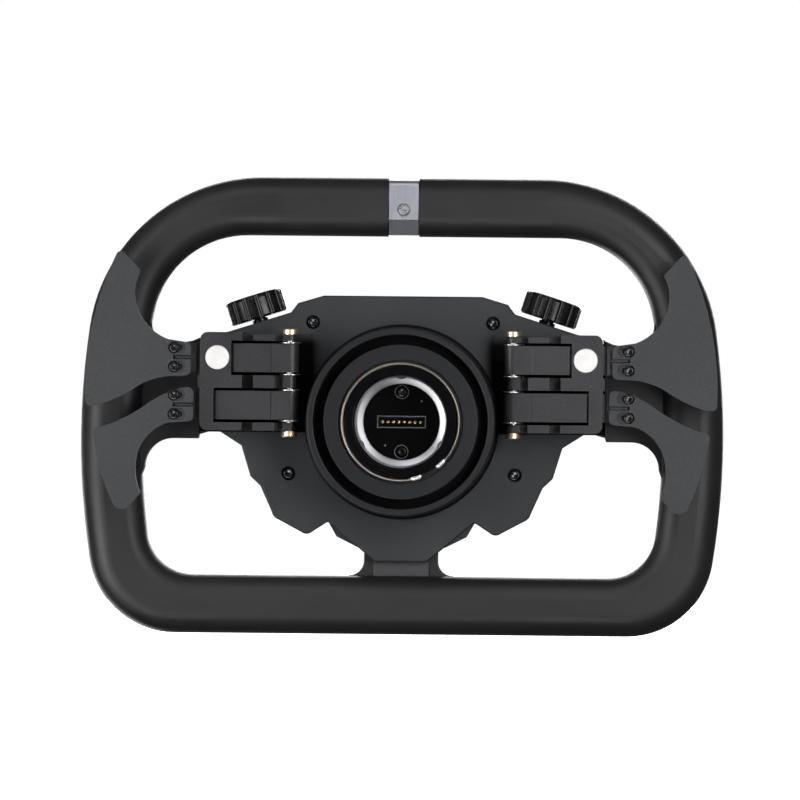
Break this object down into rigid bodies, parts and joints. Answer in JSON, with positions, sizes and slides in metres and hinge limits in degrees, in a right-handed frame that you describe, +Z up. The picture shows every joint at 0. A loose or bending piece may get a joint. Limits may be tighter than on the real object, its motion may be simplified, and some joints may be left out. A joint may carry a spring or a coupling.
{
  "type": "sim racing steering wheel",
  "caption": "Flat-topped racing wheel with a ball-lock quick release, magnetic shift paddles, clutch paddles, thumb encoder knobs and a front button panel.",
  "frame": {"origin": "centre of the quick release's mouth, on the steering axis", "axes": "+Y along the steering axis towards the driver, +Z up, +X to the right seen from the rear; the mouth opens towards -Y"},
  "size_m": [0.3006, 0.074, 0.2135],
  "materials": {
    "core_alloy": "black anodised",
    "grip_rubber": "smooth matte moulded",
    "band_alloy": "brushed, clear anodised",
    "bright_steel": "satin",
    "anodised_plate": "fine bead blasted, black anodised",
    "case_plastic": "fine textured",
    "face_carbon": "woven carbon look under clear coat",
    "lens": "smoked, polished",
    "black_screws": "black oxide",
    "circuit_board": "solder mask",
    "black_steel": "glossy black oxide",
    "chromed_steel": "polished",
    "copper_wire": "drawn wire",
    "connector_plastic": "polished",
    "gold_contacts": "gold plated",
    "collar_alloy": "turned, black anodised",
    "spring_steel": "drawn wire",
    "frame_alloy": "fine cast texture, black anodised",
    "pin_brass": "polished",
    "washer_steel": "bright",
    "nickel": "nickel plated, satin",
    "encoder_metal": "plated",
    "switch_plastic": "moulded",
    "lever_alloy": "fine cast texture, black anodised",
    "blade_alloy": "bead blasted, grey-black anodised",
    "knob_plastic": "semi-gloss",
    "button_plastic": "satin",
    "ball_steel": "polished"
  },
  "bodies": {
    "wheel": {"back_plate": "anodised_plate", "back_plate_screws": "black_screws", "button_switches": "switch_plastic", "centre_marker_band": "band_alloy", "circuit_boards": "circuit_board", "clutch_spring_left": "spring_steel", "clutch_spring_right": "spring_steel", "collar_springs": "spring_steel", "connector_plate": "connector_plastic", "connector_screws": "black_screws", "contact_block": "connector_plastic", "contact_pins": "gold_contacts", "encoder_bodies": "encoder_metal", "face_plate": "face_carbon", "face_plate_screws": "black_screws", "frame_magnets": "nickel", "hinge_pins": "pin_brass", "hinge_washers": "washer_steel", "housing": "case_plastic", "marker_screw": "bright_steel", "paddle_frame_left": "frame_alloy", "paddle_frame_right": "frame_alloy", "paddle_frame_screws": "black_screws", "qr_flange_screws": "black_screws", "qr_sleeve": "black_steel", "qr_snap_ring": "copper_wire", "qr_taper_seat": "chromed_steel", "rev_light_lens": "lens", "rim_core": "core_alloy", "rim_grip": "grip_rubber"},
    "shift_paddle_left": {"shift_lever_left": "lever_alloy", "shift_blade_left": "blade_alloy", "shift_blade_screws_left": "black_screws", "lever_magnet_left": "nickel"},
    "clutch_paddle_left": {"clutch_lever_left": "lever_alloy", "clutch_blade_left": "blade_alloy", "clutch_blade_screws_left": "black_screws"},
    "thumb_knob_left": {"thumb_knob_left": "knob_plastic"},
    "dial_knob_left": {"dial_knob_left": "knob_plastic"},
    "button_left_1": {"button_left_1": "button_plastic"},
    "button_left_2": {"button_left_2": "button_plastic"},
    "button_left_3": {"button_left_3": "button_plastic"},
    "button_left_4": {"button_left_4": "button_plastic"},
    "shift_paddle_right": {"shift_lever_right": "lever_alloy", "shift_blade_right": "blade_alloy", "shift_blade_screws_right": "black_screws", "lever_magnet_right": "nickel"},
    "clutch_paddle_right": {"clutch_lever_right": "lever_alloy", "clutch_blade_right": "blade_alloy", "clutch_blade_screws_right": "black_screws"},
    "thumb_knob_right": {"thumb_knob_right": "knob_plastic"},
    "dial_knob_right": {"dial_knob_right": "knob_plastic"},
    "button_right_1": {"button_right_1": "button_plastic"},
    "button_right_2": {"button_right_2": "button_plastic"},
    "button_right_3": {"button_right_3": "button_plastic"},
    "button_right_4": {"button_right_4": "button_plastic"},
    "quick_release_collar": {"qr_collar": "collar_alloy"},
    "locking_ball_1": {"locking_ball_1": "ball_steel"},
    "locking_ball_2": {"locking_ball_2": "ball_steel"},
    "locking_ball_3": {"locking_ball_3": "ball_steel"}
  },
  "joints": [
    {"name": "shift_pull_left", "type": "hinge", "parent": "wheel", "child": "shift_paddle_left", "pos_m": [-0.0522, 0.019, 0.029], "axis": [0, 0, -1], "range_deg": [0, 4.5], "stiffness_Nm_per_rad": 2, "springref_deg": -5.73},
    {"name": "clutch_pull_left", "type": "hinge", "parent": "wheel", "child": "clutch_paddle_left", "pos_m": [-0.0522, 0.019, 0.0071], "axis": [0, 0, -1], "range_deg": [0, 7.5], "stiffness_Nm_per_rad": 2, "springref_deg": -5.73, "deforming": ["clutch_spring_left"]},
    {"name": "thumb_turn_left", "type": "hinge", "parent": "wheel", "child": "thumb_knob_left", "pos_m": [-0.0675, 0.053, 0.048], "axis": [-0.304, 0, 0.9527], "continuous": true},
    {"name": "dial_turn_left", "type": "hinge", "parent": "wheel", "child": "dial_knob_left", "pos_m": [-0.034, 0.07, -0.032], "axis": [0, 1, 0], "continuous": true},
    {"name": "press_button_left_1", "type": "slide", "parent": "wheel", "child": "button_left_1", "axis": [0, -1, 0], "range_m": [0, 0.0015], "stiffness_N_per_m": 300, "springref_m": -0.002},
    {"name": "press_button_left_2", "type": "slide", "parent": "wheel", "child": "button_left_2", "axis": [0, -1, 0], "range_m": [0, 0.0015], "stiffness_N_per_m": 300, "springref_m": -0.002},
    {"name": "press_button_left_3", "type": "slide", "parent": "wheel", "child": "button_left_3", "axis": [0, -1, 0], "range_m": [0, 0.0015], "stiffness_N_per_m": 300, "springref_m": -0.002},
    {"name": "press_button_left_4", "type": "slide", "parent": "wheel", "child": "button_left_4", "axis": [0, -1, 0], "range_m": [0, 0.0015], "stiffness_N_per_m": 300, "springref_m": -0.002},
    {"name": "shift_pull_right", "type": "hinge", "parent": "wheel", "child": "shift_paddle_right", "pos_m": [0.0522, 0.019, 0.029], "axis": [0, 0, 1], "range_deg": [0, 4.5], "stiffness_Nm_per_rad": 2, "springref_deg": -5.73},
    {"name": "clutch_pull_right", "type": "hinge", "parent": "wheel", "child": "clutch_paddle_right", "pos_m": [0.0522, 0.019, 0.0071], "axis": [0, 0, 1], "range_deg": [0, 7.5], "stiffness_Nm_per_rad": 2, "springref_deg": -5.73, "deforming": ["clutch_spring_right"]},
    {"name": "thumb_turn_right", "type": "hinge", "parent": "wheel", "child": "thumb_knob_right", "pos_m": [0.0675, 0.053, 0.048], "axis": [0.304, 0, 0.9527], "continuous": true},
    {"name": "dial_turn_right", "type": "hinge", "parent": "wheel", "child": "dial_knob_right", "pos_m": [0.034, 0.07, -0.032], "axis": [0, 1, 0], "continuous": true},
    {"name": "press_button_right_1", "type": "slide", "parent": "wheel", "child": "button_right_1", "axis": [0, -1, 0], "range_m": [0, 0.0015], "stiffness_N_per_m": 300, "springref_m": -0.002},
    {"name": "press_button_right_2", "type": "slide", "parent": "wheel", "child": "button_right_2", "axis": [0, -1, 0], "range_m": [0, 0.0015], "stiffness_N_per_m": 300, "springref_m": -0.002},
    {"name": "press_button_right_3", "type": "slide", "parent": "wheel", "child": "button_right_3", "axis": [0, -1, 0], "range_m": [0, 0.0015], "stiffness_N_per_m": 300, "springref_m": -0.002},
    {"name": "press_button_right_4", "type": "slide", "parent": "wheel", "child": "button_right_4", "axis": [0, -1, 0], "range_m": [0, 0.0015], "stiffness_N_per_m": 300, "springref_m": -0.002},
    {"name": "collar_slide", "type": "slide", "parent": "wheel", "child": "quick_release_collar", "axis": [0, 1, 0], "range_m": [0, 0.007], "stiffness_N_per_m": 1500, "springref_m": -0.004, "deforming": ["collar_springs"]},
    {"name": "ball_slide_1", "type": "slide", "parent": "wheel", "child": "locking_ball_1", "axis": [0, 0, 1], "range_m": [0, 0.0017]},
    {"name": "ball_slide_2", "type": "slide", "parent": "wheel", "child": "locking_ball_2", "axis": [-0.866, 0, -0.5], "range_m": [0, 0.0017]},
    {"name": "ball_slide_3", "type": "slide", "parent": "wheel", "child": "locking_ball_3", "axis": [0.866, 0, -0.5], "range_m": [0, 0.0017]}
  ],
  "couplings": [
    {"joint": "ball_slide_1", "follows": "collar_slide", "ratio": 0.2428},
    {"joint": "ball_slide_2", "follows": "collar_slide", "ratio": 0.2428},
    {"joint": "ball_slide_3", "follows": "collar_slide", "ratio": 0.2428}
  ]
}
